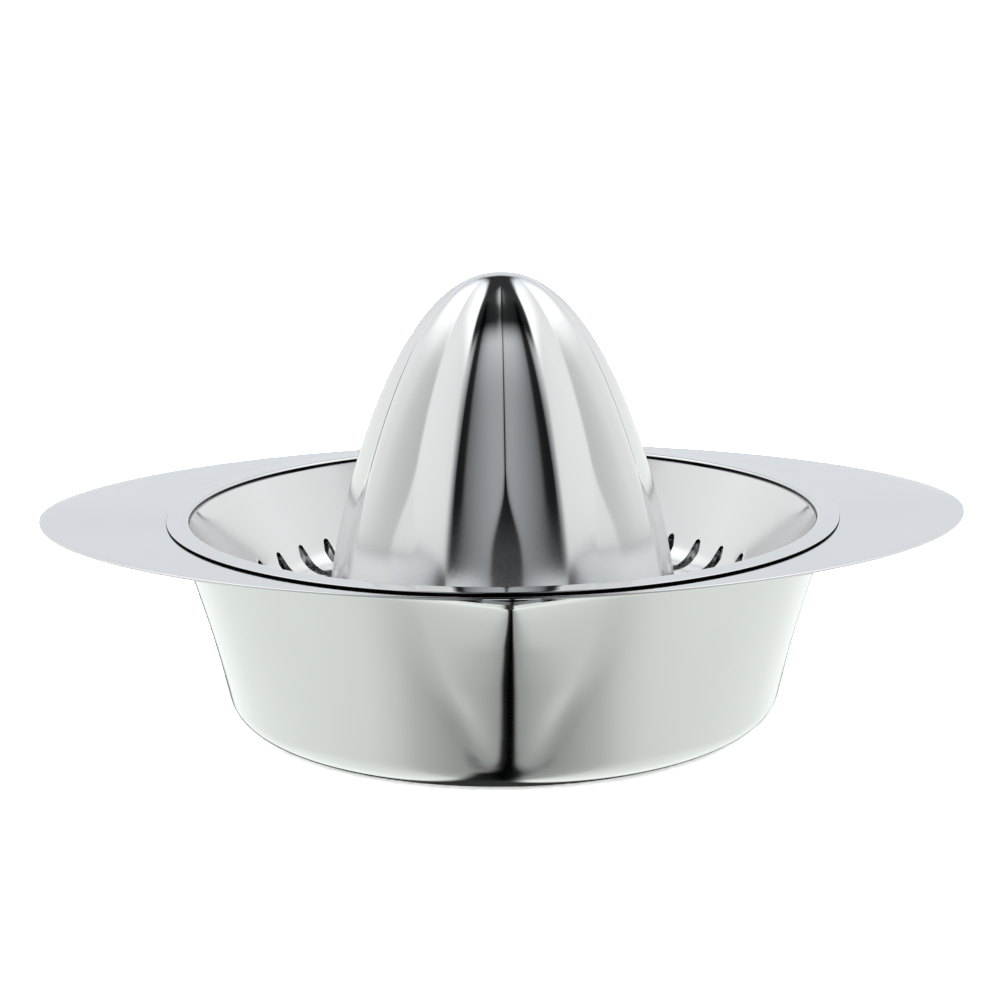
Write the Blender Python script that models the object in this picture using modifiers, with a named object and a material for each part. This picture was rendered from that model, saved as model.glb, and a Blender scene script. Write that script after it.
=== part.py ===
"""Citrus press juicer: a stainless bowl with a prow spout, and a lift-out press of tray and reamer.

Metres, +Z up. The bowl's flat base rests on z = 0 with its centre at the origin, the spout
points towards -Y, and the tray's two handles lie along X. The bowl stays still. The strainer
tray and the reamer cone, which is welded to it, lift straight up out of the bowl as one.
"""
import math

import bmesh
import bpy

COLLECTION = "citrus_press_juicer"
CUTTER_COLLECTION = "cutters"
CONTACT_GAP = 0.0003
MERGE = 0.00001
SMOOTH_ANGLE = math.radians(35)

# Bowl
BOWL_SHEET = 0.0008
BOWL_HEIGHT = 0.0408
RIM_RADIUS = 0.0687
RIM_LEAN = math.radians(42)
WALL_LEAN_TOP = math.radians(19)
WALL_LEAN_FOOT = math.radians(12.2)
FLARE_RADIUS = 0.0045
BASE_CORNER_RADIUS = 0.0060
BASE_INNER_RING = 0.0280
WALL_RINGS = 6
BOWL_STEPS = 90

# Spout: a crease drawn out of the bowl's front. Its reach is given at distances below the rim
SPOUT_ANGLE = -math.pi / 2
SPOUT_DROPS = (0.0, 0.0035, 0.0100, 0.0177, 0.0287, 0.0363)
SPOUT_REACHES = (0.0049, 0.0041, 0.0031, 0.0023, 0.0011, 0.0)
SPOUT_HALF_ANGLE = math.radians(20.5)
SPOUT_NARROWING = math.radians(370)
SPOUT_FLARE_START = 0.0190
SPOUT_POWER_LOW = 1.3
SPOUT_POWER_RIM = 2.2

# Strainer tray
TRAY_SHEET = 0.0010
TRAY_TOP = BOWL_HEIGHT + CONTACT_GAP + TRAY_SHEET
TRAY_HALF_LENGTH = 0.0960
TRAY_HALF_WIDTH = 0.0710
TRAY_OUTLINE_POWER = 1.86
TRAY_OUTLINE_POINTS = 144
COLLAR_RADIUS = 0.0650
COLLAR_DEPTH = 0.0005
LIP_RADIUS = 0.0010
LIP_SEGMENTS = 3
FUNNEL_ANGLE = math.radians(64)
FUNNEL_START_RADIUS = 0.0020
WELL_DEPTH = 0.0215
WELL_CORNER_RADIUS = 0.0075
HUB_HOLE_RADIUS = 0.0320
WELL_CORNER_SEGMENTS = 4
FLANGE_OVERSIZE = 1.03
TRAY_STEPS = 100

# Strainer slots
SLOT_COUNT = 45
SLOT_WIDTH = 0.0026
SLOT_INNER_RADIUS = 0.0410
SLOT_OUTER_RADIUS = 0.0578
SLOT_END_SEGMENTS = 2
SLOT_CUT_BELOW = 0.0030

# Reamer cone
CONE_SHEET = 0.0010
CONE_RADIUS = 0.0376
CONE_TOP = TRAY_TOP + 0.0491
CONE_FOOT_BOTTOM = TRAY_TOP - WELL_DEPTH + CONTACT_GAP
CONE_CURVE_START = TRAY_TOP - 0.0195
CONE_CURVE_POWER = 1.25
CONE_CURVE_ROUNDNESS = 0.47
FOOT_INNER_RADIUS = 0.0336
CONE_STEPS = 72
CONE_RINGS = 13

# Flutes: shallow V grooves between rounded ridges, with a groove facing the spout
FLUTES = 9
FLUTE_DEPTH = 0.085
FLUTE_CROWN_START = 0.0030
FLUTE_CROWN_FULL = 0.0120
RIDGE_ROUNDNESS = 0.12


def clear_scene():
    """Remove everything in the scene that the script starts with."""
    for obj in list(bpy.data.objects):
        bpy.data.objects.remove(obj, do_unlink=True)


def make_collection(name):
    """Add a collection to the scene."""
    collection = bpy.data.collections.new(name)
    bpy.context.scene.collection.children.link(collection)
    return collection


def polished_steel(name, roughness):
    """Mirror-polished stainless steel."""
    material = bpy.data.materials.new(name)
    material.use_nodes = True
    shader = material.node_tree.nodes["Principled BSDF"]
    shader.inputs["Base Color"].default_value = (0.72, 0.73, 0.73, 1.0)
    shader.inputs["Roughness"].default_value = roughness
    shader.inputs["Metallic"].default_value = 1.0
    return material


def arc(centre, radius, start, end, segments):
    """Points (r, z) along an arc about centre, from the start angle to the end angle."""
    points = []
    for i in range(segments + 1):
        angle = start + (end - start) * i / segments
        points.append((centre[0] + radius * math.cos(angle), centre[1] + radius * math.sin(angle)))
    return points


def offset_sheet(outline, thickness):
    """Close an (r, z) line into a sheet section, thickened to its left, or right if negative."""
    inner = []
    for i, (r, z) in enumerate(outline):
        before = outline[max(i - 1, 0)]
        after = outline[min(i + 1, len(outline) - 1)]
        along = math.hypot(after[0] - before[0], after[1] - before[1])
        left = (-(after[1] - before[1]) / along, (after[0] - before[0]) / along)
        inner.append((r + left[0] * thickness, z + left[1] * thickness))
    return outline + inner[::-1]


def object_from_mesh(name, mesh, collection):
    """Put a mesh into the scene as an object."""
    obj = bpy.data.objects.new(name, mesh)
    collection.objects.link(obj)
    return obj


def evaluated_mesh(obj):
    """The object's mesh with its modifiers applied."""
    graph = bpy.context.evaluated_depsgraph_get()
    return bpy.data.meshes.new_from_object(obj.evaluated_get(graph))


def turned(name, section, steps, closed, collection):
    """Turn a section of (r, z) points about Z with a Screw modifier, and return a finished mesh object."""
    shape = bmesh.new()
    verts = [shape.verts.new((r, 0.0, z)) for r, z in section]
    pairs = list(zip(verts, verts[1:]))
    if closed:
        pairs.append((verts[-1], verts[0]))
    for a, b in pairs:
        shape.edges.new((a, b))
    mesh = bpy.data.meshes.new(name)
    shape.to_mesh(mesh)
    shape.free()
    obj = object_from_mesh(name, mesh, collection)
    screw = obj.modifiers.new("turn", "SCREW")
    screw.steps = steps
    screw.render_steps = steps
    screw.use_merge_vertices = True
    screw.merge_threshold = MERGE
    screw.use_normal_calculate = True
    obj.data = evaluated_mesh(obj)
    obj.modifiers.clear()
    return obj


def face_outwards(obj):
    """Weld coincident points and turn every face outwards."""
    shape = bmesh.new()
    shape.from_mesh(obj.data)
    bmesh.ops.remove_doubles(shape, verts=shape.verts, dist=MERGE)
    bmesh.ops.recalc_face_normals(shape, faces=shape.faces)
    shape.to_mesh(obj.data)
    shape.free()


def shade_round(obj):
    """Shade smooth, with real corners left sharp."""
    obj.data.shade_smooth()
    obj.data.set_sharp_from_angle(angle=SMOOTH_ANGLE)


def boolean(obj, cutter, operation):
    """Combine the object with a cutter that stays out of the render."""
    cutter.hide_render = True
    cutter.display_type = "WIRE"
    modifier = obj.modifiers.new(cutter.name, "BOOLEAN")
    modifier.operation = operation
    modifier.solver = "EXACT"
    modifier.object = cutter
    obj.data = evaluated_mesh(obj)
    obj.modifiers.clear()


def smooth_step(value, low, high):
    """0 below low, 1 above high, and an S-curve between them."""
    t = min(max((value - low) / (high - low), 0.0), 1.0)
    return t * t * (3.0 - 2.0 * t)


def angle_apart(angle, other):
    """The size of the angle between two directions about Z."""
    return abs((angle - other + math.pi) % (2.0 * math.pi) - math.pi)


def bowl_outside():
    """The bowl's outer line, from the base's centre up to the rim."""
    flare_centre = (RIM_RADIUS + FLARE_RADIUS * math.cos(RIM_LEAN),
                    BOWL_HEIGHT - FLARE_RADIUS * math.sin(RIM_LEAN))
    flare = arc(flare_centre, FLARE_RADIUS, math.pi - WALL_LEAN_TOP, math.pi - RIM_LEAN, 2)
    wall_top_r, wall_top_z = flare[0]
    wall_foot_z = BASE_CORNER_RADIUS * (1.0 - math.sin(WALL_LEAN_FOOT))
    wall_radius = (wall_top_z - wall_foot_z) / (math.sin(WALL_LEAN_TOP) - math.sin(WALL_LEAN_FOOT))
    wall_centre = (wall_top_r + wall_radius * math.cos(WALL_LEAN_TOP),
                   wall_top_z - wall_radius * math.sin(WALL_LEAN_TOP))
    wall = arc(wall_centre, wall_radius, math.pi - WALL_LEAN_FOOT, math.pi - WALL_LEAN_TOP, WALL_RINGS)
    corner_r = wall[0][0] - BASE_CORNER_RADIUS * math.cos(WALL_LEAN_FOOT)
    corner = arc((corner_r, BASE_CORNER_RADIUS), BASE_CORNER_RADIUS, -math.pi / 2, -WALL_LEAN_FOOT, 4)
    return [(0.0, 0.0), (BASE_INNER_RING, 0.0)] + corner + wall[1:] + flare[1:]


def between(value, steps, results):
    """The result for a value, in straight lines between the given steps."""
    for i in range(1, len(steps)):
        if value <= steps[i]:
            share = max(value - steps[i - 1], 0.0) / (steps[i] - steps[i - 1])
            return results[i - 1] + (results[i] - results[i - 1]) * share
    return results[-1]


def spout_push(angle, height):
    """How far the wall is drawn out at this angle and height."""
    drop = BOWL_HEIGHT - height
    half_angle = SPOUT_HALF_ANGLE - SPOUT_NARROWING * drop
    near = max(1.0 - angle_apart(angle, SPOUT_ANGLE) / half_angle, 0.0)
    flare = smooth_step(SPOUT_FLARE_START - drop, 0.0, SPOUT_FLARE_START)
    power = SPOUT_POWER_LOW + (SPOUT_POWER_RIM - SPOUT_POWER_LOW) * flare
    return between(drop, SPOUT_DROPS, SPOUT_REACHES) * near ** power


def build_bowl(collection):
    """The deep-drawn bowl, with its front drawn out into a creased spout."""
    outside = bowl_outside()
    section = offset_sheet(outside, BOWL_SHEET)
    section[len(outside)] = (RIM_RADIUS - BOWL_SHEET / math.cos(RIM_LEAN), BOWL_HEIGHT)
    section[-1] = (0.0, BOWL_SHEET)
    bowl = turned("juice_bowl", section, BOWL_STEPS, False, collection)
    face_outwards(bowl)
    for vertex in bowl.data.vertices:
        radius = math.hypot(vertex.co.x, vertex.co.y)
        if radius > MERGE:
            angle = math.atan2(vertex.co.y, vertex.co.x)
            stretch = 1.0 + spout_push(angle, vertex.co.z) / radius
            vertex.co.x *= stretch
            vertex.co.y *= stretch
    shade_round(bowl)
    bowl.data.materials.append(polished_steel("polished_steel_bowl", 0.05))
    return bowl


def tray_top_line():
    """The tray's upper surface as a line, from the flange's outside in to the hub hole."""
    lip_centre = (COLLAR_RADIUS + LIP_RADIUS, TRAY_TOP - LIP_RADIUS)
    line = [(TRAY_HALF_LENGTH * FLANGE_OVERSIZE, TRAY_TOP)]
    line += arc(lip_centre, LIP_RADIUS, math.pi / 2, math.pi, LIP_SEGMENTS)
    turn_centre = (COLLAR_RADIUS - FUNNEL_START_RADIUS, lip_centre[1] - COLLAR_DEPTH)
    line += arc(turn_centre, FUNNEL_START_RADIUS, 0.0, FUNNEL_ANGLE - math.pi / 2, 2)
    floor_z = TRAY_TOP - WELL_DEPTH
    corner_z = floor_z + WELL_CORNER_RADIUS
    funnel_top = line[-1]
    corner_top_z = corner_z - WELL_CORNER_RADIUS * math.cos(FUNNEL_ANGLE)
    corner_top_r = funnel_top[0] - (funnel_top[1] - corner_top_z) / math.tan(FUNNEL_ANGLE)
    corner_r = corner_top_r - WELL_CORNER_RADIUS * math.sin(FUNNEL_ANGLE)
    line += arc((corner_r, corner_z), WELL_CORNER_RADIUS, FUNNEL_ANGLE - math.pi / 2, -math.pi / 2,
                WELL_CORNER_SEGMENTS)
    line.append((HUB_HOLE_RADIUS, floor_z))
    return line


def superellipse(half_length, half_width, power, count):
    """Points of a pointed oval: a superellipse, evenly stepped in its parameter."""
    points = []
    for i in range(count):
        angle = 2.0 * math.pi * i / count
        c = math.cos(angle)
        s = math.sin(angle)
        points.append((math.copysign(abs(c) ** (2.0 / power), c) * half_length,
                       math.copysign(abs(s) ** (2.0 / power), s) * half_width))
    return points


def flat_outline(name, points, z, half_thickness, collection):
    """A closed outline as a filled 2D curve, extruded both ways, and turned into a mesh object."""
    curve = bpy.data.curves.new(name, "CURVE")
    curve.dimensions = "2D"
    curve.fill_mode = "BOTH"
    curve.extrude = half_thickness
    spline = curve.splines.new("POLY")
    spline.points.add(len(points) - 1)
    for point, (x, y) in zip(spline.points, points):
        point.co = (x, y, 0.0, 1.0)
    spline.use_cyclic_u = True
    drawing = bpy.data.objects.new(name + "_curve", curve)
    collection.objects.link(drawing)
    drawing.location.z = z
    bpy.context.view_layer.update()
    obj = object_from_mesh(name, evaluated_mesh(drawing), collection)
    obj.location.z = z
    bpy.data.objects.remove(drawing, do_unlink=True)
    face_outwards(obj)
    return obj


def slot_outline(angle):
    """A round-ended slot lying along the radius at this angle."""
    half = SLOT_WIDTH / 2
    ends = ((SLOT_OUTER_RADIUS - half, -math.pi / 2), (SLOT_INNER_RADIUS + half, math.pi / 2))
    points = []
    for centre, start in ends:
        for r, t in arc((centre, 0.0), half, start, start + math.pi, SLOT_END_SEGMENTS):
            points.append((r * math.cos(angle) - t * math.sin(angle),
                           r * math.sin(angle) + t * math.cos(angle)))
    return points


def slot_cutters(collection):
    """All the strainer slots as one group of upright cutters."""
    shape = bmesh.new()
    low = TRAY_TOP - WELL_DEPTH - SLOT_CUT_BELOW
    high = TRAY_TOP - WELL_DEPTH + WELL_CORNER_RADIUS
    for i in range(SLOT_COUNT):
        outline = slot_outline(SPOUT_ANGLE + 2.0 * math.pi * i / SLOT_COUNT)
        bottom = shape.faces.new([shape.verts.new((x, y, low)) for x, y in outline])
        top = bmesh.ops.extrude_face_region(shape, geom=[bottom])["geom"]
        raised = [item for item in top if isinstance(item, bmesh.types.BMVert)]
        bmesh.ops.translate(shape, verts=raised, vec=(0.0, 0.0, high - low))
    bmesh.ops.recalc_face_normals(shape, faces=shape.faces)
    mesh = bpy.data.meshes.new("slot_cutters")
    shape.to_mesh(mesh)
    shape.free()
    return object_from_mesh("slot_cutters", mesh, collection)


def build_tray(collection, cutters):
    """The strainer tray: an oval flange with two handles, a funnel and a ring of slots."""
    section = offset_sheet(tray_top_line(), TRAY_SHEET)
    section[0] = (TRAY_HALF_LENGTH * FLANGE_OVERSIZE, TRAY_TOP)
    section[-1] = (TRAY_HALF_LENGTH * FLANGE_OVERSIZE, TRAY_TOP - TRAY_SHEET)
    tray = turned("strainer_tray", section, TRAY_STEPS, True, collection)
    face_outwards(tray)
    outline = superellipse(TRAY_HALF_LENGTH, TRAY_HALF_WIDTH, TRAY_OUTLINE_POWER, TRAY_OUTLINE_POINTS)
    keep = flat_outline("tray_outline", outline, TRAY_TOP, WELL_DEPTH + SLOT_CUT_BELOW, cutters)
    boolean(tray, keep, "INTERSECT")
    boolean(tray, slot_cutters(cutters), "DIFFERENCE")
    face_outwards(tray)
    shade_round(tray)
    tray.data.materials.append(polished_steel("polished_steel_tray", 0.06))
    return tray


def cone_outside():
    """The reamer's outer line over a ridge, from the crown down to the foot."""
    line = []
    for i in range(CONE_RINGS + 1):
        t = max(math.cos(math.pi / 2 * i / CONE_RINGS), 0.0)
        radius = CONE_RADIUS * (1.0 - t ** CONE_CURVE_POWER) ** CONE_CURVE_ROUNDNESS
        line.append((radius, CONE_CURVE_START + (CONE_TOP - CONE_CURVE_START) * t))
    line.append((CONE_RADIUS, CONE_FOOT_BOTTOM))
    return line


def flute_share(angle, radius):
    """How far below the ridge line the surface lies, as a share of the radius."""
    turn = angle_apart(angle, SPOUT_ANGLE) * FLUTES / (2.0 * math.pi)
    from_ridge = 1.0 - abs(turn - round(turn)) * 2.0
    rounded = math.hypot(from_ridge, RIDGE_ROUNDNESS) - RIDGE_ROUNDNESS
    deepest = math.hypot(1.0, RIDGE_ROUNDNESS) - RIDGE_ROUNDNESS
    return FLUTE_DEPTH * rounded / deepest * smooth_step(radius, FLUTE_CROWN_START, FLUTE_CROWN_FULL)


def build_cone(collection):
    """The fluted reamer cone, hollow underneath, with its foot turned in."""
    outside = cone_outside()
    inside = offset_sheet(outside[:-1], -CONE_SHEET)[len(outside) - 1:]
    foot = [(FOOT_INNER_RADIUS, CONE_FOOT_BOTTOM),
            (FOOT_INNER_RADIUS, CONE_FOOT_BOTTOM + CONE_SHEET),
            (CONE_RADIUS - CONE_SHEET, CONE_FOOT_BOTTOM + CONE_SHEET)]
    section = outside + foot + inside
    section[-1] = (0.0, CONE_TOP - CONE_SHEET)
    cone = turned("reamer_cone", section, CONE_STEPS, False, collection)
    face_outwards(cone)
    for vertex in cone.data.vertices:
        radius = math.hypot(vertex.co.x, vertex.co.y)
        if radius > MERGE:
            angle = math.atan2(vertex.co.y, vertex.co.x)
            shrink = 1.0 - flute_share(angle, radius)
            vertex.co.x *= shrink
            vertex.co.y *= shrink
    shade_round(cone)
    cone.data.materials.append(polished_steel("polished_steel_cone", 0.04))
    return cone


def main():
    """Build the juicer at rest, with the press seated in the bowl."""
    clear_scene()
    parts = make_collection(COLLECTION)
    cutters = make_collection(CUTTER_COLLECTION)
    press = bpy.data.objects.new("press_lift_axis", None)
    parts.objects.link(press)
    build_bowl(parts)
    tray = build_tray(parts, cutters)
    cone = build_cone(parts)
    tray.parent = press
    cone.parent = press
    bpy.context.view_layer.update()


main()
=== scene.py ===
"""Looks for the citrus press juicer: mirror-polished stainless steel in a white light tent.

Metres, in the frame of the CAD model: the bowl's base is centred on the origin, the spout points
towards -Y and the tray's two handles lie along X. Three finely modelled pieces stand in for the
three CAD nodes. The bowl rides on the body "bowl", the tray and the reamer cone on "press".
"""
import math

import bpy
import numpy as np
from mathutils import Matrix, Vector


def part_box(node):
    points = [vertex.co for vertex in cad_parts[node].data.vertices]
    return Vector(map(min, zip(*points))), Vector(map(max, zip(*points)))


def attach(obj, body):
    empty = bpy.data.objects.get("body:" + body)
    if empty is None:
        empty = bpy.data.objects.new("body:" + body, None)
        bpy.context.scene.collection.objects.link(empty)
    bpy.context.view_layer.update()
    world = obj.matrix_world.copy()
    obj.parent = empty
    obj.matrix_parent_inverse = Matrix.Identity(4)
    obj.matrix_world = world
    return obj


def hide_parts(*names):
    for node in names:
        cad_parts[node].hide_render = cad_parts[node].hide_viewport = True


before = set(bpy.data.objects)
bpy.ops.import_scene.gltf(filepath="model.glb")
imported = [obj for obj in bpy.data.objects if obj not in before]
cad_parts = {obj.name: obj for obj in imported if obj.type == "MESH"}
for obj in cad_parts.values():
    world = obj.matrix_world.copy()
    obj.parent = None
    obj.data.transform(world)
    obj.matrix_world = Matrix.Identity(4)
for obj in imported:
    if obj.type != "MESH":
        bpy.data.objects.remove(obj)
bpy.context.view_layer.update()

BOWL_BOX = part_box("juice_bowl")
TRAY_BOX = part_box("strainer_tray")
CONE_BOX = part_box("reamer_cone")
TURN = 2.0 * math.pi
RIGHT_ANGLE = math.pi / 2
FRONT = -RIGHT_ANGLE

# Tray outline, ring and wings: the wings are the two handles
TRAY_TOP = TRAY_BOX[1].z
TRAY_HALF_LENGTH = TRAY_BOX[1].x
TRAY_HALF_WIDTH = TRAY_BOX[1].y
TRAY_OUTLINE_POWER = 1.86
TRAY_SHEET = 0.0010
RING_RADIUS = 0.0695
RING_STEP = 0.00055
RING_SHEET = 0.00030
WING_RISE = 0.00035
WING_SHEET = 0.00060
WING_START = 0.0006
WING_ROWS = (0.04, 0.08, 0.14, 0.22, 0.32, 0.45, 0.6, 0.75, 0.9, 1.0)
LEAST_STEP = 0.0001
STEP_ROUND = 0.00018
EDGE_ROUND = 0.00030
RING_EDGE_LEAN = 0.00005
RING_UNDER_LEAN = 0.00002
WING_ROOT = 0.0002
UNDERSIDE_ROOT = 0.0010
LIP_ROOT = 0.0012
UNDERSIDE_CLEARANCE = 0.00012

# Seam under the ring's edge: full in front, nearly closed at the back; painted shade, a near-black
# colour, darkens it where its shadow falls
SEAM_DEPTH = 0.0010
SEAM_START = 0.00014
SEAM_BOTTOM = 0.0030
SEAM_MARGIN = 0.0004
SEAM_LEAST = 0.04
SEAM_FADE_START = -0.10
SEAM_FADE_END = 0.25
# painted shade: the near-black colour laid where the seam under the ring and the lip's groove lie
# in shadow
SEAM_SHADE_COLOUR = (0.012, 0.013, 0.014, 1.0)

# Tray lip, funnel and floor
COLLAR_RADIUS = 0.0650
COLLAR_DEPTH = 0.0005
LIP_RADIUS = 0.0006
# the band of painted shade in the groove under the lip: a dark line where its shadow falls
LIP_LINE_HALF_WIDTH = 0.0003
LIP_LINE_TOP = 0.7 * LIP_RADIUS
LIP_SEGMENTS = 10
COLLAR_SEGMENTS = 2
FUNNEL_START_SEGMENTS = 5
FUNNEL_SEGMENTS = 10
WELL_CORNER_SEGMENTS = 12
WELL_FLOOR_SEGMENTS = 16
FUNNEL_ANGLE = math.radians(64)
FUNNEL_START_RADIUS = 0.0012
WELL_DEPTH = 0.0218
WELL_CORNER_RADIUS = 0.0075
HUB_HOLE_RADIUS = 0.0320

# Strainer slots: straight sides between two round ends
SLOT_COUNT = 45
SLOT_PITCH = TURN / SLOT_COUNT
SLOT_WIDTH = 0.0026
SLOT_INNER_END = 0.0410 + SLOT_WIDTH / 2
SLOT_OUTER_END = 0.0578 - SLOT_WIDTH / 2
SLOT_FADE = 2.2 * SLOT_WIDTH
COLUMNS_IN_SLOT = 4
COLUMNS_BETWEEN = 4
TOUCHING = 1e-6

# Bowl
BOWL_SHEET = 0.0008
BOWL_HEIGHT = BOWL_BOX[1].z
RIM_RADIUS = 0.0685
RIM_LEAN = math.radians(48)
RIM_FLARE_RADIUS = 0.0030
WALL_LEAN_TOP = math.radians(19.0)
WALL_LEAN_FOOT = math.radians(12.2)
BASE_CORNER_RADIUS = 0.0060
BASE_SEGMENTS = 8
BASE_CORNER_SEGMENTS = 14
WALL_SEGMENTS = 44
FLARE_SEGMENTS = 10
BOWL_COLUMNS = 720
CREASE_CROWDING = 0.86

# Spout: the bowl's front drawn out into a crease, its reach given for drops below the rim
SPOUT_FOOT = 0.0045
SPOUT_DROPS = (0.0, 0.0012, 0.0035, 0.0100, 0.0177, 0.0230, 0.0287, 0.0330, 0.0363)
SPOUT_REACHES = (0.0049, 0.0042, 0.0037, 0.0026, 0.0018, 0.0014, 0.0009, 0.0004, 0.0)
SPOUT_HALF_ANGLE_RIM = math.radians(17.5)
SPOUT_NARROWING = math.radians(370.0)
SPOUT_BLEND = 0.25
SPOUT_POWER_FOOT = 1.15
SPOUT_POWER_RISE = 0.85
SPOUT_POWER_START = 0.45
VALLEY_DEPTH = 0.00016
VALLEY_WIDTH = math.radians(2.8)
VALLEY_START = 0.016
VALLEY_FULL = 0.026
VALLEY_FOOT = 0.06
CREASE_ROUNDNESS = 0.0026
CREASE_SHARPENING = 0.5
CREASE_SHARPENING_START = 0.7

# Reamer cone
CONE_SHEET = 0.0010
CONE_RADIUS = CONE_BOX[1].y
CONE_TOP = CONE_BOX[1].z
CONE_FOOT_BOTTOM = CONE_BOX[0].z
CONE_CURVE_START = CONE_FOOT_BOTTOM + 0.0017
CONE_CURVE_POWER = 1.25
CONE_CURVE_ROUNDNESS = 0.47
CONE_COLUMNS = 900
CONE_RINGS = 110
CROWN_HOLE = 0.0012
FOOT_INNER_RADIUS = 0.0336

# Flutes: depth as a share of the radius; lengths across a flute run from its groove to its ridge
FLUTES = 9
FLUTE_PITCH = math.pi / FLUTES
FLUTE_SLOPE = 0.109
FLUTE_HOLLOW = 0.31
FLUTE_CROWN_START = 0.0030
FLUTE_CROWN_FULL = 0.0120
RIDGE_ROUNDNESS = 0.10
RIDGE_ROUND_RADIUS = 0.0300
RIDGE_ROUND_POWER = 2.0
RIDGE_ROUND_MOST = 0.40
GROOVE_ROUNDNESS = 0.03
GROOVE_FLOOR_WIDTH = 0.0028
GROOVE_FLOOR_WIDEST = 0.9
GROOVE_FLOOR_FULL = TRAY_TOP - 0.0040
GROOVE_FLOOR_TOP = TRAY_TOP + 0.0120
GROOVE_LEAST_RADIUS = 0.01
FLOOR_BLEND = 0.0030

# Steel: base colours between clean and smudged, and bands of height with a satin finish
STEEL_CLEAN = (0.725, 0.735, 0.735, 1.0)
STEEL_SMUDGED = (0.690, 0.700, 0.705, 1.0)
SMUDGE_SCALE = 28.0
SMUDGE_DETAIL = 4.0
SMUDGE_ROUGHNESS = 0.55
SMUDGE_FROM = 0.35
SMUDGE_TO = 0.75
MARK_SCALE = (12.0, 12.0, 2600.0)
MARK_DETAIL = 3.0
MARK_STRENGTH = 0.05
MARK_HEIGHT = 0.00002
SHARP_ANGLE = math.radians(50)
SATIN_CONE = (TRAY_TOP - 0.0030, TRAY_TOP + 0.0120, 0.15)
SATIN_TRAY = (TRAY_TOP - 0.0060, TRAY_TOP - 0.0015, 0.10)

# The tent's brightness by the angle from the slit in front, in degrees, as grey levels (0 to 1)
# seen in the steel: near table height, and higher up
TENT_LOW = ((0.0, 0.10), (7.0, 0.11), (10.0, 0.40), (17.0, 0.56), (24.0, 0.58), (30.0, 0.61),
            (42.0, 0.675), (51.0, 0.75), (63.0, 0.81), (88.0, 0.855), (111.0, 0.88),
            (130.0, 0.90), (150.0, 0.94), (180.0, 0.96))
TENT_HIGH = ((0.0, 0.10), (7.0, 0.12), (10.0, 0.40), (17.0, 0.53), (24.0, 0.61), (42.0, 0.69),
             (56.0, 0.74), (66.0, 0.80), (75.0, 0.88), (110.0, 0.925), (140.0, 0.90),
             (160.0, 0.85), (180.0, 0.845))
STEEL_SHARE = 0.72
LOW_SLIT_SHIFT = math.radians(-0.5)
NEUTRAL = (1.0, 1.0, 1.0)
COOL = (0.965, 1.0, 1.05)
GREENISH = (0.98, 1.025, 0.985)
COOL_BEFORE = 35.0
COOL_AFTER = 150.0
DARKEST = 0.97

# The tent's parts, by height, by distance to the right, by the angle from the front, or by the
# angle over the top: where each one starts and where it is full
WALL_BLEND = (-0.20, 0.25)
BACK_BAND_SIDE = (math.radians(158), math.radians(167))
BACK_BAND_TOP = (-0.05, 0.01)
GAP_FRONT = (math.radians(54), math.radians(68))
GAP_BACK = (math.radians(144), math.radians(152))
GAP_NARROWING = (math.radians(72), math.radians(105))
GAP_HALF_WIDTHS = (0.30, 0.09)
GAP_SOFT_EDGE = 0.16
STRIP_LEFT = (-0.22, -0.14)
STRIP_RIGHT = (0.02, 0.09)
STRIP_TOP = (-0.82, -0.66)
ROOF = (0.55, 0.80)
ROOF_GLOW = 1.45
FOOT = (-0.72, -0.58)
FOOT_GLOW = 0.93

# Studio: the focal length and the camera's aim are shares of the sensor's width
FLOOR_RADIUS = 2.2
FLOOR_BEND = 0.8
FLOOR_TOP = 2.4
FLOOR_COLUMNS = 96
FLOOR_RINGS = (0.05, 0.1, 0.2, 0.4, 0.7, 1.0)
FLOOR_BEND_SEGMENTS = 12
FLOOR_COLOUR = (0.93, 0.93, 0.93, 1.0)
SOFTBOX_SIZE = 2.6
SOFTBOX_POWER = 700.0
SOFTBOX_HEIGHT = 1.9
CAMERA_ELEVATION = math.radians(12.5765)
CAMERA_DISTANCE = 0.42356
CAMERA_TURN = math.radians(1.2)
CAMERA_ROLL = math.radians(0.5738)
CAMERA_TARGET = Vector((0.0, 0.0, 0.0421))
FOCAL_LENGTH = 2.0249
AIM_RIGHT = 0.002607
AIM_DOWN = 0.006620
SENSOR_WIDTH = 36.0


def smooth_step(value, low, high):
    """0 below low, 1 above high, and an S-curve between them, for arrays as well as numbers."""
    t = np.clip((value - low) / (high - low), 0.0, 1.0)
    return t * t * (3.0 - 2.0 * t)


def arc(centre, radius, start, end, segments):
    """Points (r, z) along an arc about centre, from the start angle to the end angle."""
    angles = np.linspace(start, end, segments + 1)
    return [(centre[0] + radius * math.cos(a), centre[1] + radius * math.sin(a)) for a in angles]


def line(start, end, segments):
    """Points from start to end, leaving out the start."""
    return [(start[0] + (end[0] - start[0]) * i / segments,
             start[1] + (end[1] - start[1]) * i / segments) for i in range(1, segments + 1)]


def offset_left(points, thickness):
    """The (r, z) line moved sideways by thickness: to its left, or to its right if negative."""
    p = np.array(points)
    along = np.zeros_like(p)
    along[1:-1] = p[2:] - p[:-2]
    along[0] = p[1] - p[0]
    along[-1] = p[-1] - p[-2]
    along /= np.linalg.norm(along, axis=1)[:, None]
    left = np.stack([-along[:, 1], along[:, 0]], 1)
    return p + left * thickness


def angle_from_front(angles):
    """The size of each angle's distance from the spout's direction."""
    return np.abs((angles - FRONT + math.pi) % TURN - math.pi)


def ring_points(radii, angles, heights):
    """Points of one ring."""
    return np.stack([radii * np.cos(angles), radii * np.sin(angles),
                     np.broadcast_to(heights, np.shape(angles))], 1)


def mesh_object(name, verts, faces):
    """A smooth-shaded mesh object."""
    mesh = bpy.data.meshes.new(name)
    mesh.from_pydata([tuple(v) for v in verts], [], faces)
    mesh.update()
    mesh.shade_smooth()
    obj = bpy.data.objects.new(name, mesh)
    bpy.context.scene.collection.objects.link(obj)
    return obj


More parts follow.
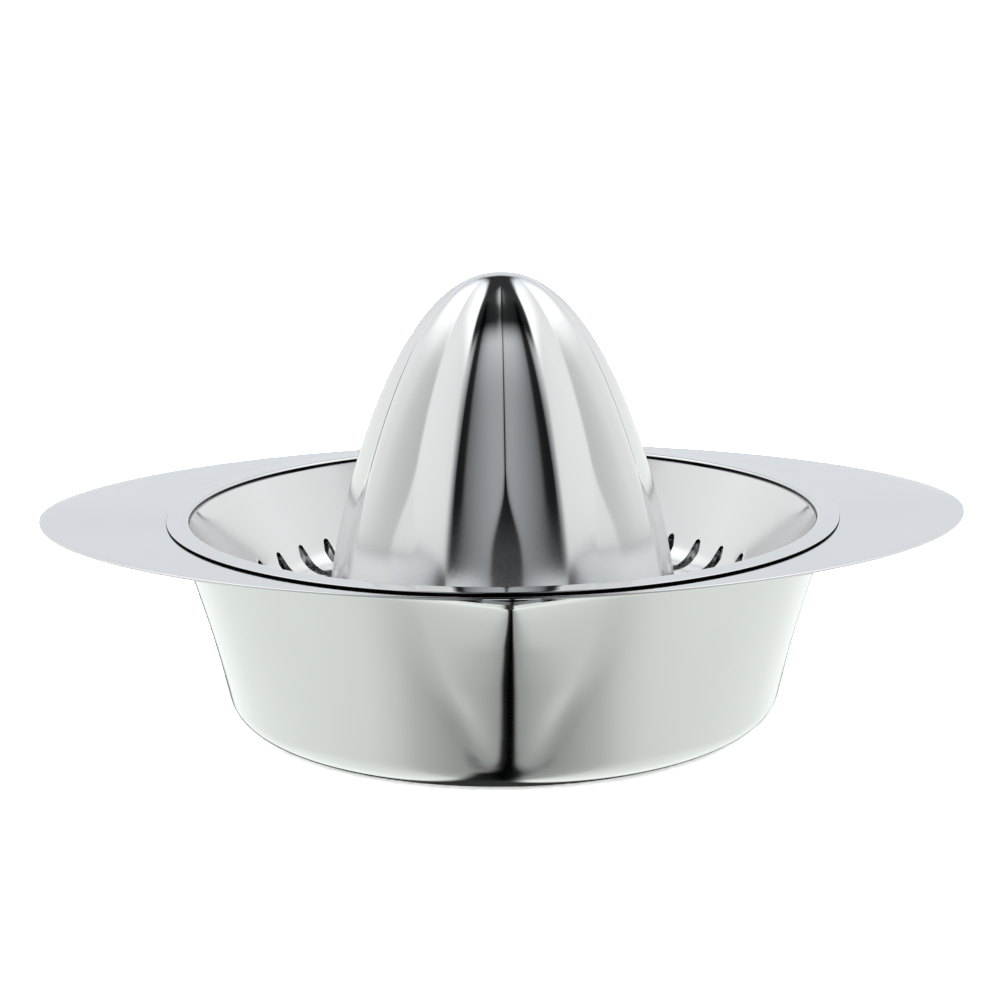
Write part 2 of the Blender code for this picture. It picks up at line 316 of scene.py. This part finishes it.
def turned_shell(name, rows, poles):
    """A closed shell from rings of points along a section, ending in two poles on the axis."""
    count = len(rows[0])
    verts = [p for row in rows for p in row]
    faces = []
    for i in range(len(rows) - 1):
        for j in range(count):
            k = (j + 1) % count
            faces.append((i * count + j, i * count + k,
                          (i + 1) * count + k, (i + 1) * count + j))
    for pole, i, turn_round in ((poles[0], 0, True), (poles[1], len(rows) - 1, False)):
        centre = len(verts)
        verts.append(pole)
        for j in range(count):
            ends = (i * count + j, i * count + (j + 1) % count)
            faces.append((centre,) + (ends[::-1] if turn_round else ends))
    return mesh_object(name, verts, faces)


def bowl_outside():
    """The bowl's outer line, from near the base's centre up to the rim."""
    flare_centre = (RIM_RADIUS + RIM_FLARE_RADIUS * math.cos(RIM_LEAN),
                    BOWL_HEIGHT - RIM_FLARE_RADIUS * math.sin(RIM_LEAN))
    flare = arc(flare_centre, RIM_FLARE_RADIUS, math.pi - WALL_LEAN_TOP, math.pi - RIM_LEAN,
                FLARE_SEGMENTS)
    wall_top = flare[0]
    wall_foot_z = BASE_CORNER_RADIUS * (1.0 - math.sin(WALL_LEAN_FOOT))
    lean_rise = math.sin(WALL_LEAN_TOP) - math.sin(WALL_LEAN_FOOT)
    wall_radius = (wall_top[1] - wall_foot_z) / lean_rise
    wall_centre = (wall_top[0] + wall_radius * math.cos(WALL_LEAN_TOP),
                   wall_top[1] - wall_radius * math.sin(WALL_LEAN_TOP))
    wall = arc(wall_centre, wall_radius, math.pi - WALL_LEAN_FOOT, math.pi - WALL_LEAN_TOP,
               WALL_SEGMENTS)
    corner_centre = (wall[0][0] - BASE_CORNER_RADIUS * math.cos(WALL_LEAN_FOOT),
                     BASE_CORNER_RADIUS)
    corner = arc(corner_centre, BASE_CORNER_RADIUS, -RIGHT_ANGLE, -WALL_LEAN_FOOT,
                 BASE_CORNER_SEGMENTS)
    base = line((0.0, 0.0), corner[0], BASE_SEGMENTS)
    return base + corner[1:] + wall[1:] + flare[1:]


def spout_push(angles, height):
    """How far the wall is drawn out at these angles and this height."""
    drop = BOWL_HEIGHT - height
    rise = np.clip((height - SPOUT_FOOT) / (BOWL_HEIGHT - SPOUT_FOOT), 0.0, 1.0)
    half_angle = SPOUT_HALF_ANGLE_RIM - SPOUT_NARROWING * drop
    sharper = CREASE_SHARPENING * smooth_step(rise, CREASE_SHARPENING_START, 1.0)
    round_angle = CREASE_ROUNDNESS / RIM_RADIUS * (1.0 - sharper)
    away = angle_from_front(angles)
    rounded = (np.hypot(away, round_angle) - round_angle) / half_angle
    near = np.clip(1.0 - rounded + SPOUT_BLEND, 0.0, None)
    blended = near * near / (4.0 * SPOUT_BLEND)
    near = np.where(near < 2.0 * SPOUT_BLEND, blended, near - SPOUT_BLEND)
    power = SPOUT_POWER_FOOT + SPOUT_POWER_RISE * smooth_step(rise, SPOUT_POWER_START, 1.0)
    # a shallow valley on each side, where the spout meets the round wall
    valley = VALLEY_DEPTH * smooth_step(drop, VALLEY_START, VALLEY_FULL)
    valley = valley * np.exp(-((away - half_angle) / VALLEY_WIDTH) ** 2)
    reach = np.interp(drop, SPOUT_DROPS, SPOUT_REACHES)
    return reach * near ** power - valley * smooth_step(rise, 0.0, VALLEY_FOOT)


def build_bowl():
    """The deep-drawn bowl with its creased spout."""
    outside = bowl_outside()
    inside = offset_left(outside, BOWL_SHEET)
    inside[-1] = (RIM_RADIUS - BOWL_SHEET / math.cos(RIM_LEAN), BOWL_HEIGHT)
    edge = [(outside[-1][0] * (1 - t) + inside[-1][0] * t, BOWL_HEIGHT) for t in (0.25, 0.5, 0.75)]
    section = list(outside) + edge + [tuple(p) for p in inside[::-1]]
    # the columns crowd together around the crease
    turned = (np.arange(BOWL_COLUMNS) / BOWL_COLUMNS + 0.5) % 1.0 - 0.5
    angles = FRONT + TURN * (turned - CREASE_CROWDING * np.sin(TURN * turned) / TURN)
    rows = [ring_points(r + spout_push(angles, z), angles, z) for r, z in section]
    return turned_shell("juice_bowl_polished", rows, ((0.0, 0.0, 0.0), (0.0, 0.0, BOWL_SHEET)))


def outline_radius(angles):
    """The radius of the tray's pointed oval outline in each direction."""
    c = np.abs(np.cos(angles)) / TRAY_HALF_LENGTH
    s = np.abs(np.sin(angles)) / TRAY_HALF_WIDTH
    return (c ** TRAY_OUTLINE_POWER + s ** TRAY_OUTLINE_POWER) ** (-1.0 / TRAY_OUTLINE_POWER)


def well_line():
    """The tray's upper surface as (r, z), from the lip in to the hub hole.

    It has a point exactly at each end of the slots' straight sides.
    """
    lip_centre = (COLLAR_RADIUS + LIP_RADIUS, TRAY_TOP - LIP_RADIUS)
    points = arc(lip_centre, LIP_RADIUS, RIGHT_ANGLE, math.pi, LIP_SEGMENTS)
    turn_centre = (COLLAR_RADIUS - FUNNEL_START_RADIUS, lip_centre[1] - COLLAR_DEPTH)
    points += line(points[-1], (COLLAR_RADIUS, turn_centre[1]), COLLAR_SEGMENTS)[:-1]
    points += arc(turn_centre, FUNNEL_START_RADIUS, 0.0, FUNNEL_ANGLE - RIGHT_ANGLE,
                  FUNNEL_START_SEGMENTS)
    floor_z = TRAY_TOP - WELL_DEPTH
    corner_z = floor_z + WELL_CORNER_RADIUS
    top = points[-1]
    corner_top_z = corner_z - WELL_CORNER_RADIUS * math.cos(FUNNEL_ANGLE)
    corner_top_r = top[0] - (top[1] - corner_top_z) / math.tan(FUNNEL_ANGLE)
    corner_r = corner_top_r - WELL_CORNER_RADIUS * math.sin(FUNNEL_ANGLE)
    corner = arc((corner_r, corner_z), WELL_CORNER_RADIUS,
                 FUNNEL_ANGLE - RIGHT_ANGLE, -RIGHT_ANGLE, WELL_CORNER_SEGMENTS)
    points += line(top, corner[0], FUNNEL_SEGMENTS)[:-1]
    points += corner
    points += line(points[-1], (HUB_HOLE_RADIUS, floor_z), WELL_FLOOR_SEGMENTS)
    well = []
    for (r0, z0), (r1, z1) in zip(points, points[1:]):
        well.append((r0, z0))
        for end in (SLOT_OUTER_END, SLOT_INNER_END):
            if r1 + TOUCHING < end < r0 - TOUCHING:
                well.append((end, z0 + (z1 - z0) * (r0 - end) / (r0 - r1)))
    well.append(points[-1])
    return np.array(well)


def well_underside(well):
    """The lower surface, one sheet under the well's line, and straight under the lip."""
    under = offset_left(well, TRAY_SHEET)
    first = int(np.argmax(under[:, 1] < TRAY_TOP - TRAY_SHEET - UNDERSIDE_CLEARANCE))
    start = np.array((COLLAR_RADIUS + LIP_RADIUS + TRAY_SHEET, TRAY_TOP - TRAY_SHEET))
    for k in range(first):
        under[k] = start + (under[first] - start) * k / first
    return under


def slot_columns():
    """The tray's columns, as three arrays.

    They give the slot's own angle, the place across the slot from -1 to 1, and the share of the
    way to the next slot, which is 0 for the columns of the slot itself.
    """
    columns = []
    for i in range(SLOT_COUNT):
        centre = FRONT + i * SLOT_PITCH
        for j in range(COLUMNS_IN_SLOT + 1):
            columns.append((centre, 2.0 * j / COLUMNS_IN_SLOT - 1.0, 0.0))
        for j in range(1, COLUMNS_BETWEEN):
            columns.append((centre, 1.0, j / COLUMNS_BETWEEN))
    return np.array(columns).T


def column_angles(columns, radius):
    """Each column's angle at this radius, so that the slots' sides are parallel."""
    centre, side, between = columns
    half = math.asin(SLOT_WIDTH / 2 / radius)
    return centre + side * half + between * (SLOT_PITCH - 2 * half)


def slot_push(radius, bulge):
    """How far a row's columns move outwards, so that the slots' ends come out round."""
    if radius >= SLOT_OUTER_END - TOUCHING:
        return bulge * (1.0 - smooth_step(radius, SLOT_OUTER_END, SLOT_OUTER_END + SLOT_FADE))
    if radius <= SLOT_INNER_END + TOUCHING:
        return -bulge * smooth_step(radius, SLOT_INNER_END - SLOT_FADE, SLOT_INNER_END)
    return np.zeros(len(bulge))


def well_rows(columns, well):
    """Rows of points over the lip, funnel and floor: the upper ones and the ones under them."""
    side, between = columns[1:]
    bulge = np.sqrt(np.clip(1.0 - side * side, 0.0, None)) * SLOT_WIDTH / 2 * (between == 0.0)
    under = well_underside(well)
    by_radius = np.argsort(well[:, 0])
    upper = []
    lower = []
    for (r, z), (r_under, z_under) in zip(well, under):
        angles = column_angles(columns, r)
        push = slot_push(r, bulge)
        radii = r + push
        heights = np.interp(radii, well[by_radius, 0], well[by_radius, 1])
        heights_under = np.interp(radii, well[by_radius, 0], under[by_radius, 1])
        upper.append(ring_points(radii, angles, np.where(push == 0.0, z, heights)))
        lower.append(ring_points(radii + (r_under - r), angles,
                                 np.where(push == 0.0, z_under, heights_under)))
    return upper, lower


def flange_rows(angles):
    """Rows over the ring, into the seam under its edge, over the wings and back underneath."""
    edge = outline_radius(angles)
    ring_edge = np.minimum(RING_RADIUS, edge)
    wing = np.clip(edge - RING_RADIUS, 0.0, None)
    has_wing = smooth_step(wing, 0.0, WING_START)
    lip_top = COLLAR_RADIUS + LIP_RADIUS
    in_front = smooth_step(-np.sin(angles), SEAM_FADE_START, SEAM_FADE_END)
    seam = SEAM_LEAST + (1.0 - SEAM_LEAST) * in_front
    corner = STEP_ROUND * seam
    rows = []

    def add(radius, height):
        """One more row of the flange."""
        rows.append(ring_points(radius, angles, height))

    def lift(radius):
        """How much the wing has risen at this distance from the axis."""
        span = TRAY_HALF_LENGTH - RING_RADIUS
        return WING_RISE * np.clip(radius - ring_edge, 0.0, None) / span

    for t in (0.25, 0.5, 0.75, 0.92):
        add(lip_top + (ring_edge - corner * 2.0 - lip_top) * t, TRAY_TOP)
    for a in np.linspace(0.0, RIGHT_ANGLE, 7):
        add(ring_edge - corner * (1.0 - math.sin(a)), TRAY_TOP - corner * (1.0 - math.cos(a)))
    add(ring_edge - RING_EDGE_LEAN * seam, TRAY_TOP - RING_SHEET * seam)
    start = ring_edge - SEAM_DEPTH * seam
    add(start, TRAY_TOP - (RING_SHEET + RING_UNDER_LEAN) * seam)
    wing_z = TRAY_TOP - RING_STEP * seam
    add(start, wing_z)
    wing_edge = np.maximum(edge - EDGE_ROUND, start + LEAST_STEP)
    wing_reach = (wing + SEAM_DEPTH * seam) * has_wing + LEAST_STEP * (1.0 - has_wing)
    wing_edge = np.minimum(wing_edge, start + wing_reach)
    for t in WING_ROWS:
        radius = start + (wing_edge - start) * t
        add(radius, wing_z + lift(radius))
    half_sheet = WING_SHEET / 2
    reach = np.minimum(EDGE_ROUND, np.maximum((edge - wing_edge) * has_wing, LEAST_STEP / 2))
    edge_z = wing_z + lift(wing_edge)
    for a in np.linspace(0.0, RIGHT_ANGLE, 6)[1:]:
        add(wing_edge + reach * math.sin(a), edge_z - half_sheet * (1.0 - math.cos(a)))
    for a in np.linspace(0.0, RIGHT_ANGLE, 6)[1:]:
        add(wing_edge + reach * math.cos(a), edge_z - half_sheet - half_sheet * math.sin(a))
    add(start - WING_ROOT, wing_z - WING_SHEET)
    add(start - UNDERSIDE_ROOT, TRAY_TOP - TRAY_SHEET)
    add(lip_top + LIP_ROOT, TRAY_TOP - TRAY_SHEET)
    return rows


def build_tray():
    """The strainer tray: a ring with two wings, a funnel and a ring of slots."""
    columns = slot_columns()
    well = well_line()
    upper, lower = well_rows(columns, well)
    flange = flange_rows(column_angles(columns, COLLAR_RADIUS))
    rows = upper[::-1] + flange + lower
    side, between = columns[1:]
    count = len(side)
    # rows in the slotted band, and for each upper one the row under it
    slotted = [k for k, (r, z) in enumerate(well)
               if SLOT_INNER_END - TOUCHING <= r <= SLOT_OUTER_END + TOUCHING][::-1]
    above = [len(well) - 1 - k for k in slotted]
    below = [len(well) + len(flange) + k for k in slotted]
    bands = (set(above), set(below))
    faces = []

    def face(*corners):
        """One face from its corners, each a row and a column."""
        faces.append(tuple(i * count + j for i, j in corners))

    for i in range(len(rows)):
        n = (i + 1) % len(rows)
        in_band = any(i in band and n in band for band in bands)
        for j in range(count):
            k = (j + 1) % count
            in_slot = between[j] == 0.0 and side[j] < 1.0
            if not (in_band and in_slot):
                face((i, j), (n, j), (n, k), (i, k))
    # the slots' walls, between the upper and the lower surface
    for j in range(count):
        k = (j + 1) % count
        if between[j] == 0.0 and side[j] == -1.0:
            for a, b, c, d in zip(above, above[1:], below, below[1:]):
                face((a, j), (b, j), (d, j), (c, j))
        if between[j] == 0.0 and side[j] == 1.0:
            for a, b, c, d in zip(above, above[1:], below, below[1:]):
                face((a, j), (c, j), (d, j), (b, j))
        if between[j] == 0.0 and side[j] < 1.0:
            face((above[0], j), (below[0], j), (below[0], k), (above[0], k))
            face((above[-1], j), (above[-1], k), (below[-1], k), (below[-1], j))
    return mesh_object("strainer_tray_polished", np.concatenate(rows), faces)


def cone_outside():
    """The reamer's outer line over a ridge, from the crown down to the foot."""
    points = []
    for i in range(1, CONE_RINGS + 1):
        t = max(math.cos(RIGHT_ANGLE * i / CONE_RINGS), 0.0)
        radius = CONE_RADIUS * (1.0 - t ** CONE_CURVE_POWER) ** CONE_CURVE_ROUNDNESS
        points.append((radius, CONE_CURVE_START + (CONE_TOP - CONE_CURVE_START) * t))
    return points + line(points[-1], (CONE_RADIUS, CONE_FOOT_BOTTOM), 2)


def flute_share(angles, radius, height):
    """How far below the ridge line the surface lies, as a share of the radius."""
    turn = angle_from_front(angles) / (2.0 * FLUTE_PITCH)
    signed = (turn - np.round(turn)) * 2.0
    from_groove = np.hypot(signed, GROOVE_ROUNDNESS) - GROOVE_ROUNDNESS
    # the ridges round off towards the crown
    narrow = max(RIDGE_ROUND_RADIUS / max(radius, LEAST_STEP), 1.0)
    roundness = min(RIDGE_ROUNDNESS * narrow ** RIDGE_ROUND_POWER, RIDGE_ROUND_MOST)

    def depth(across):
        """The share at this part of the way from the groove (0) to the ridge (1)."""
        v = np.hypot(1.0 - across, roundness) - roundness
        return FLUTE_SLOPE * v * (1.0 + FLUTE_HOLLOW * (1.0 - v))

    # near the foot the groove widens into a flat floor, blended into its sides
    share = depth(from_groove)
    width = GROOVE_FLOOR_WIDTH * (1.0 - smooth_step(height, GROOVE_FLOOR_FULL, GROOVE_FLOOR_TOP))
    edge = width / max(radius, GROOVE_LEAST_RADIUS) / FLUTE_PITCH
    edge = float(min(edge, GROOVE_FLOOR_WIDEST))
    floor = 1.0 - (1.0 - depth(edge)) * math.cos(edge * FLUTE_PITCH) / np.cos(signed * FLUTE_PITCH)
    blend = FLOOR_BLEND if edge > 0.0 else 0.0
    share = 0.5 * (share + floor - np.hypot(share - floor, blend))
    return share * smooth_step(radius, FLUTE_CROWN_START, FLUTE_CROWN_FULL)


def build_cone():
    """The fluted reamer cone, hollow underneath, with its foot turned in."""
    outside = cone_outside()
    inside = offset_left(outside, -CONE_SHEET)
    foot_top = CONE_FOOT_BOTTOM + CONE_SHEET
    foot = [(FOOT_INNER_RADIUS, CONE_FOOT_BOTTOM),
            (FOOT_INNER_RADIUS, foot_top),
            (CONE_RADIUS - CONE_SHEET, foot_top)]
    inner = [tuple(p) for p in inside[::-1]
             if p[1] > foot_top + CONE_SHEET / 2 and p[0] > CROWN_HOLE]
    angles = FRONT + np.arange(CONE_COLUMNS) * TURN / CONE_COLUMNS
    rows = []
    for r, z in outside + foot + inner:
        rows.append(ring_points(r * (1.0 - flute_share(angles, r, z)), angles, z)[::-1])
    poles = ((0.0, 0.0, CONE_TOP), (0.0, 0.0, CONE_TOP - CONE_SHEET))
    return turned_shell("reamer_cone_polished", rows, poles)


def math_node(nodes, links, operation, *values):
    """A Math node fed with sockets or numbers; returns its output."""
    node = nodes.new("ShaderNodeMath")
    node.operation = operation
    for socket, value in zip(node.inputs, values):
        if isinstance(value, (int, float)):
            socket.default_value = value
        else:
            links.new(value, socket)
    return node.outputs[0]


def product(nodes, links, *values):
    """The product of two or more sockets or numbers; returns its output."""
    result = values[0]
    for value in values[1:]:
        result = math_node(nodes, links, "MULTIPLY", result, value)
    return result


def map_range(nodes, links, value, low, high, to_low, to_high):
    """A smooth map from one range to another; returns its output."""
    node = nodes.new("ShaderNodeMapRange")
    node.interpolation_type = "SMOOTHSTEP"
    node.inputs["From Min"].default_value = low
    node.inputs["From Max"].default_value = high
    node.inputs["To Min"].default_value = to_low
    node.inputs["To Max"].default_value = to_high
    links.new(value, node.inputs["Value"])
    return node.outputs["Result"]


def colour_mix(nodes, links, factor, a, b, blend="MIX"):
    """A colour Mix node fed with sockets, colours or a number; returns its output."""
    node = nodes.new("ShaderNodeMix")
    node.data_type = "RGBA"
    node.blend_type = blend
    for socket, value in (("Factor", factor), ("A", a), ("B", b)):
        if isinstance(value, (float, tuple)):
            node.inputs[socket].default_value = value
        else:
            links.new(value, node.inputs[socket])
    return node.outputs["Result"]


def noise(nodes, links, vector, scale, detail, roughness=0.5):
    """A Noise Texture; returns its output."""
    node = nodes.new("ShaderNodeTexNoise")
    node.inputs["Scale"].default_value = scale
    node.inputs["Detail"].default_value = detail
    node.inputs["Roughness"].default_value = roughness
    links.new(vector, node.inputs["Vector"])
    return node.outputs["Fac"]


# the masks place painted shade: the dark colour where the seam and the lip's groove fall in shadow
def painted_shade_mask(nodes, links, place, inner, outer, low, high):
    """1 inside a ring between two radii and two heights, 0 elsewhere; returns its output."""
    split = nodes.new("ShaderNodeSeparateXYZ")
    links.new(place, split.inputs["Vector"])
    x, y, z = split.outputs
    squared = math_node(nodes, links, "ADD", product(nodes, links, x, x),
                        product(nodes, links, y, y))
    radius = math_node(nodes, links, "SQRT", squared)
    return product(nodes, links,
                   math_node(nodes, links, "GREATER_THAN", radius, inner),
                   math_node(nodes, links, "LESS_THAN", radius, outer),
                   math_node(nodes, links, "GREATER_THAN", z, low),
                   math_node(nodes, links, "LESS_THAN", z, high))


def polished_steel(name, roughness_low, roughness_high, shade_bands, satin):
    """Mirror-polished stainless steel with faint smudges, fine polishing marks, and painted shade
    in the given shade bands.
    """
    material = bpy.data.materials.new(name)
    material.use_nodes = True
    nodes = material.node_tree.nodes
    links = material.node_tree.links
    shader = nodes["Principled BSDF"]
    shader.inputs["Metallic"].default_value = 1.0
    place = nodes.new("ShaderNodeTexCoord").outputs["Object"]
    smudge = noise(nodes, links, place, SMUDGE_SCALE, SMUDGE_DETAIL, SMUDGE_ROUGHNESS)
    rough = nodes.new("ShaderNodeMapRange")
    rough.inputs["From Min"].default_value = SMUDGE_FROM
    rough.inputs["From Max"].default_value = SMUDGE_TO
    rough.inputs["To Min"].default_value = roughness_low
    rough.inputs["To Max"].default_value = roughness_high
    links.new(smudge, rough.inputs["Value"])
    roughness = rough.outputs["Result"]
    if satin:
        split = nodes.new("ShaderNodeSeparateXYZ")
        links.new(place, split.inputs["Vector"])
        low, high, most = satin
        extra = map_range(nodes, links, split.outputs["Z"], low, high, most, 0.0)
        roughness = math_node(nodes, links, "ADD", roughness, extra)
    links.new(roughness, shader.inputs["Roughness"])
    colour = colour_mix(nodes, links, smudge, STEEL_CLEAN, STEEL_SMUDGED)
    # painted shade: a near-black colour in the seam under the ring's edge and in the groove under
    # the lip, where shadow falls
    if shade_bands:
        masks = [painted_shade_mask(nodes, links, place, *limits) for limits in shade_bands]
        dark = math_node(nodes, links, "MAXIMUM", *masks)
        colour = colour_mix(nodes, links, dark, colour, SEAM_SHADE_COLOUR)
    links.new(colour, shader.inputs["Base Color"])
    # polishing marks: noise squeezed along the height, so it draws fine rings
    stretch = nodes.new("ShaderNodeMapping")
    stretch.inputs["Scale"].default_value = MARK_SCALE
    links.new(place, stretch.inputs["Vector"])
    bump = nodes.new("ShaderNodeBump")
    bump.inputs["Strength"].default_value = MARK_STRENGTH
    bump.inputs["Distance"].default_value = MARK_HEIGHT
    marks = noise(nodes, links, stretch.outputs["Vector"], 1.0, MARK_DETAIL)
    links.new(marks, bump.inputs["Height"])
    links.new(bump.outputs["Normal"], shader.inputs["Normal"])
    return material


def add_pieces():
    """Build the three pieces, give them their steel, and put them on their bodies."""
    # the tray's dark lines, painted shade in near-black: the seam under the ring's edge, and the
    # groove under the lip
    shade_bands = ((RING_RADIUS - SEAM_DEPTH - SEAM_MARGIN, RING_RADIUS + LEAST_STEP,
              TRAY_TOP - SEAM_BOTTOM, TRAY_TOP - SEAM_START),
             # painted shade in the groove under the lip
             (COLLAR_RADIUS - LIP_LINE_HALF_WIDTH, COLLAR_RADIUS + LIP_LINE_HALF_WIDTH,
              TRAY_TOP - LIP_RADIUS - COLLAR_DEPTH, TRAY_TOP - LIP_LINE_TOP))
    makers = (("juice_bowl", "bowl", build_bowl, "polished_steel_bowl", 0.07, 0.13, None, None),
              ("strainer_tray", "press", build_tray, "polished_steel_tray", 0.06, 0.12,
               shade_bands, SATIN_TRAY),
              ("reamer_cone", "press", build_cone, "polished_steel_cone", 0.06, 0.11,
               None, SATIN_CONE))
    for node, body, build, slot, low, high, dark, satin in makers:
        piece = build()
        piece.data.set_sharp_from_angle(angle=SHARP_ANGLE)
        piece.data.materials.append(polished_steel(slot, low, high, dark, satin))
        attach(piece, body)
        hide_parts(node)


def tent_tint(degrees, cool):
    """The tint of one stop of a ramp."""
    if not cool:
        return GREENISH
    return NEUTRAL if COOL_BEFORE < degrees < COOL_AFTER else COOL


def tent_ramp(nodes, links, share, levels, cool):
    """A colour ramp over the angle from the front; returns its colour output."""
    ramp = nodes.new("ShaderNodeValToRGB")
    elements = ramp.color_ramp.elements
    elements.remove(elements[-1])
    for i, (degrees, level) in enumerate(levels):
        element = elements[0] if i == 0 else elements.new(degrees / 180.0)
        element.position = degrees / 180.0
        # from the grey seen in the steel to the light that gives it
        light = ((level + 0.055) / 1.055) ** 2.4 / STEEL_SHARE
        element.color = tuple(light * share_of for share_of in tent_tint(degrees, cool)) + (1.0,)
    links.new(share, ramp.inputs["Fac"])
    return ramp.outputs["Color"]


def light_tent():
    """The world: a white tent with a dark slit in front and dark gaps above, behind and below."""
    world = bpy.data.worlds.new("light_tent")
    bpy.context.scene.world = world
    world.use_nodes = True
    nodes = world.node_tree.nodes
    links = world.node_tree.links
    direction = nodes.new("ShaderNodeTexCoord")
    split = nodes.new("ShaderNodeSeparateXYZ")
    links.new(direction.outputs["Generated"], split.inputs["Vector"])
    x, y, z = split.outputs

    def calculate(operation, *values):
        """A Math node of this world."""
        return math_node(nodes, links, operation, *values)

    def ease(value, low, high, to_low, to_high):
        """A smooth map of this world."""
        return map_range(nodes, links, value, low, high, to_low, to_high)

    forward = calculate("MULTIPLY", y, -1.0)
    around = calculate("ARCTAN2", x, forward)
    away = calculate("ABSOLUTE", around)
    away_low = calculate("ABSOLUTE", calculate("ADD", around, LOW_SLIT_SHIFT))
    low = tent_ramp(nodes, links, calculate("DIVIDE", away_low, math.pi), TENT_LOW, False)
    high = tent_ramp(nodes, links, calculate("DIVIDE", away, math.pi), TENT_HIGH, True)
    walls = colour_mix(nodes, links, ease(z, *WALL_BLEND, 0.0, 1.0), low, high)
    # dark gap between the tent and the table at the back
    band = product(nodes, links,
                   ease(away, *BACK_BAND_SIDE, 0.0, 1.0),
                   ease(z, *BACK_BAND_TOP, 1.0, 0.0))
    # dark gap overhead, between the two side walls, narrower towards the back
    over = calculate("ARCTAN2", z, forward)
    half_gap = ease(over, *GAP_NARROWING, *GAP_HALF_WIDTHS)
    past_gap = calculate("SUBTRACT", calculate("ABSOLUTE", x), half_gap)
    overhead = product(nodes, links,
                       ease(over, *GAP_FRONT, 0.0, 1.0),
                       ease(over, *GAP_BACK, 1.0, 0.0),
                       ease(past_gap, 0.0, GAP_SOFT_EDGE, 1.0, 0.0))
    # dark strip of table just in front of the bowl's foot
    strip = product(nodes, links,
                    ease(x, *STRIP_LEFT, 0.0, 1.0),
                    ease(x, *STRIP_RIGHT, 1.0, 0.0),
                    ease(z, *STRIP_TOP, 1.0, 0.0))
    dark = calculate("MAXIMUM", strip, calculate("MAXIMUM", band, overhead))
    # the tent's roof glows more than its walls, and its foot a little less
    light = product(nodes, links,
                    calculate("SUBTRACT", 1.0, calculate("MULTIPLY", dark, DARKEST)),
                    ease(z, *ROOF, 1.0, ROOF_GLOW),
                    ease(z, *FOOT, 1.0, FOOT_GLOW))
    grey = nodes.new("ShaderNodeCombineColor")
    for socket in grey.inputs[:3]:
        links.new(light, socket)
    lit = colour_mix(nodes, links, 1.0, walls, grey.outputs["Color"], "MULTIPLY")
    links.new(lit, nodes["Background"].inputs["Color"])


def add_floor():
    """A pale floor that curves up into a wall all round, left out of the steel's reflections."""
    profile = [(FLOOR_RADIUS * t, 0.0) for t in FLOOR_RINGS]
    profile += arc((FLOOR_RADIUS, FLOOR_BEND), FLOOR_BEND, -RIGHT_ANGLE, 0.0,
                   FLOOR_BEND_SEGMENTS)[1:]
    profile.append((FLOOR_RADIUS + FLOOR_BEND, FLOOR_TOP))
    count = FLOOR_COLUMNS
    angles = np.arange(count) * TURN / count
    verts = [ring_points(r, angles, z) for r, z in profile] + [[(0.0, 0.0, 0.0)]]
    faces = []
    for i in range(len(profile) - 1):
        for j in range(count):
            k = (j + 1) % count
            faces.append((i * count + j, (i + 1) * count + j,
                          (i + 1) * count + k, i * count + k))
    centre = len(profile) * count
    faces += [(centre, j, (j + 1) % count) for j in range(count)]
    floor = mesh_object("studio_floor", np.concatenate(verts), faces)
    material = bpy.data.materials.new("pale_floor")
    material.use_nodes = True
    shader = material.node_tree.nodes["Principled BSDF"]
    shader.inputs["Base Color"].default_value = FLOOR_COLOUR
    shader.inputs["Roughness"].default_value = 0.9
    shader.inputs["Specular IOR Level"].default_value = 0.0
    floor.data.materials.append(material)
    floor.visible_glossy = False


def add_lights():
    """Soft light from above for the floor, left out of the steel's reflections."""
    data = bpy.data.lights.new("top_softbox", "AREA")
    data.shape = "DISK"
    data.size = SOFTBOX_SIZE
    data.energy = SOFTBOX_POWER
    light = bpy.data.objects.new("top_softbox", data)
    light.location = (0.0, 0.0, SOFTBOX_HEIGHT)
    light.visible_glossy = False
    bpy.context.scene.collection.objects.link(light)


def add_camera():
    """A camera in front, looking slightly down, framed on the tray's centre."""
    pitch = CAMERA_ELEVATION - math.atan2(AIM_DOWN, FOCAL_LENGTH)
    yaw = -math.atan2(AIM_RIGHT, FOCAL_LENGTH)
    place = CAMERA_DISTANCE * Vector((0.0, -math.cos(CAMERA_ELEVATION),
                                      math.sin(CAMERA_ELEVATION)))
    forward = Vector((math.sin(yaw) * math.cos(pitch), math.cos(yaw) * math.cos(pitch),
                      -math.sin(pitch)))
    level = forward.cross(Vector((0.0, 0.0, 1.0))).normalized()
    upright = level.cross(forward)
    right = level * math.cos(CAMERA_ROLL) - upright * math.sin(CAMERA_ROLL)
    up = level * math.sin(CAMERA_ROLL) + upright * math.cos(CAMERA_ROLL)
    turned = Matrix.Rotation(-CAMERA_TURN, 3, "Z")
    place, forward, right, up = (turned @ v for v in (place, forward, right, up))
    camera = bpy.data.objects.new("camera", bpy.data.cameras.new("camera"))
    camera.data.sensor_width = SENSOR_WIDTH
    camera.data.lens = SENSOR_WIDTH * FOCAL_LENGTH
    camera.data.clip_start = 0.01
    camera.data.clip_end = 20.0
    matrix = Matrix((right, up, -forward)).transposed().to_4x4()
    matrix.translation = place + CAMERA_TARGET
    camera.matrix_world = matrix
    bpy.context.scene.collection.objects.link(camera)
    bpy.context.scene.camera = camera


add_pieces()
light_tent()
add_floor()
add_lights()
add_camera()
bpy.context.scene.view_settings.view_transform = "Standard"
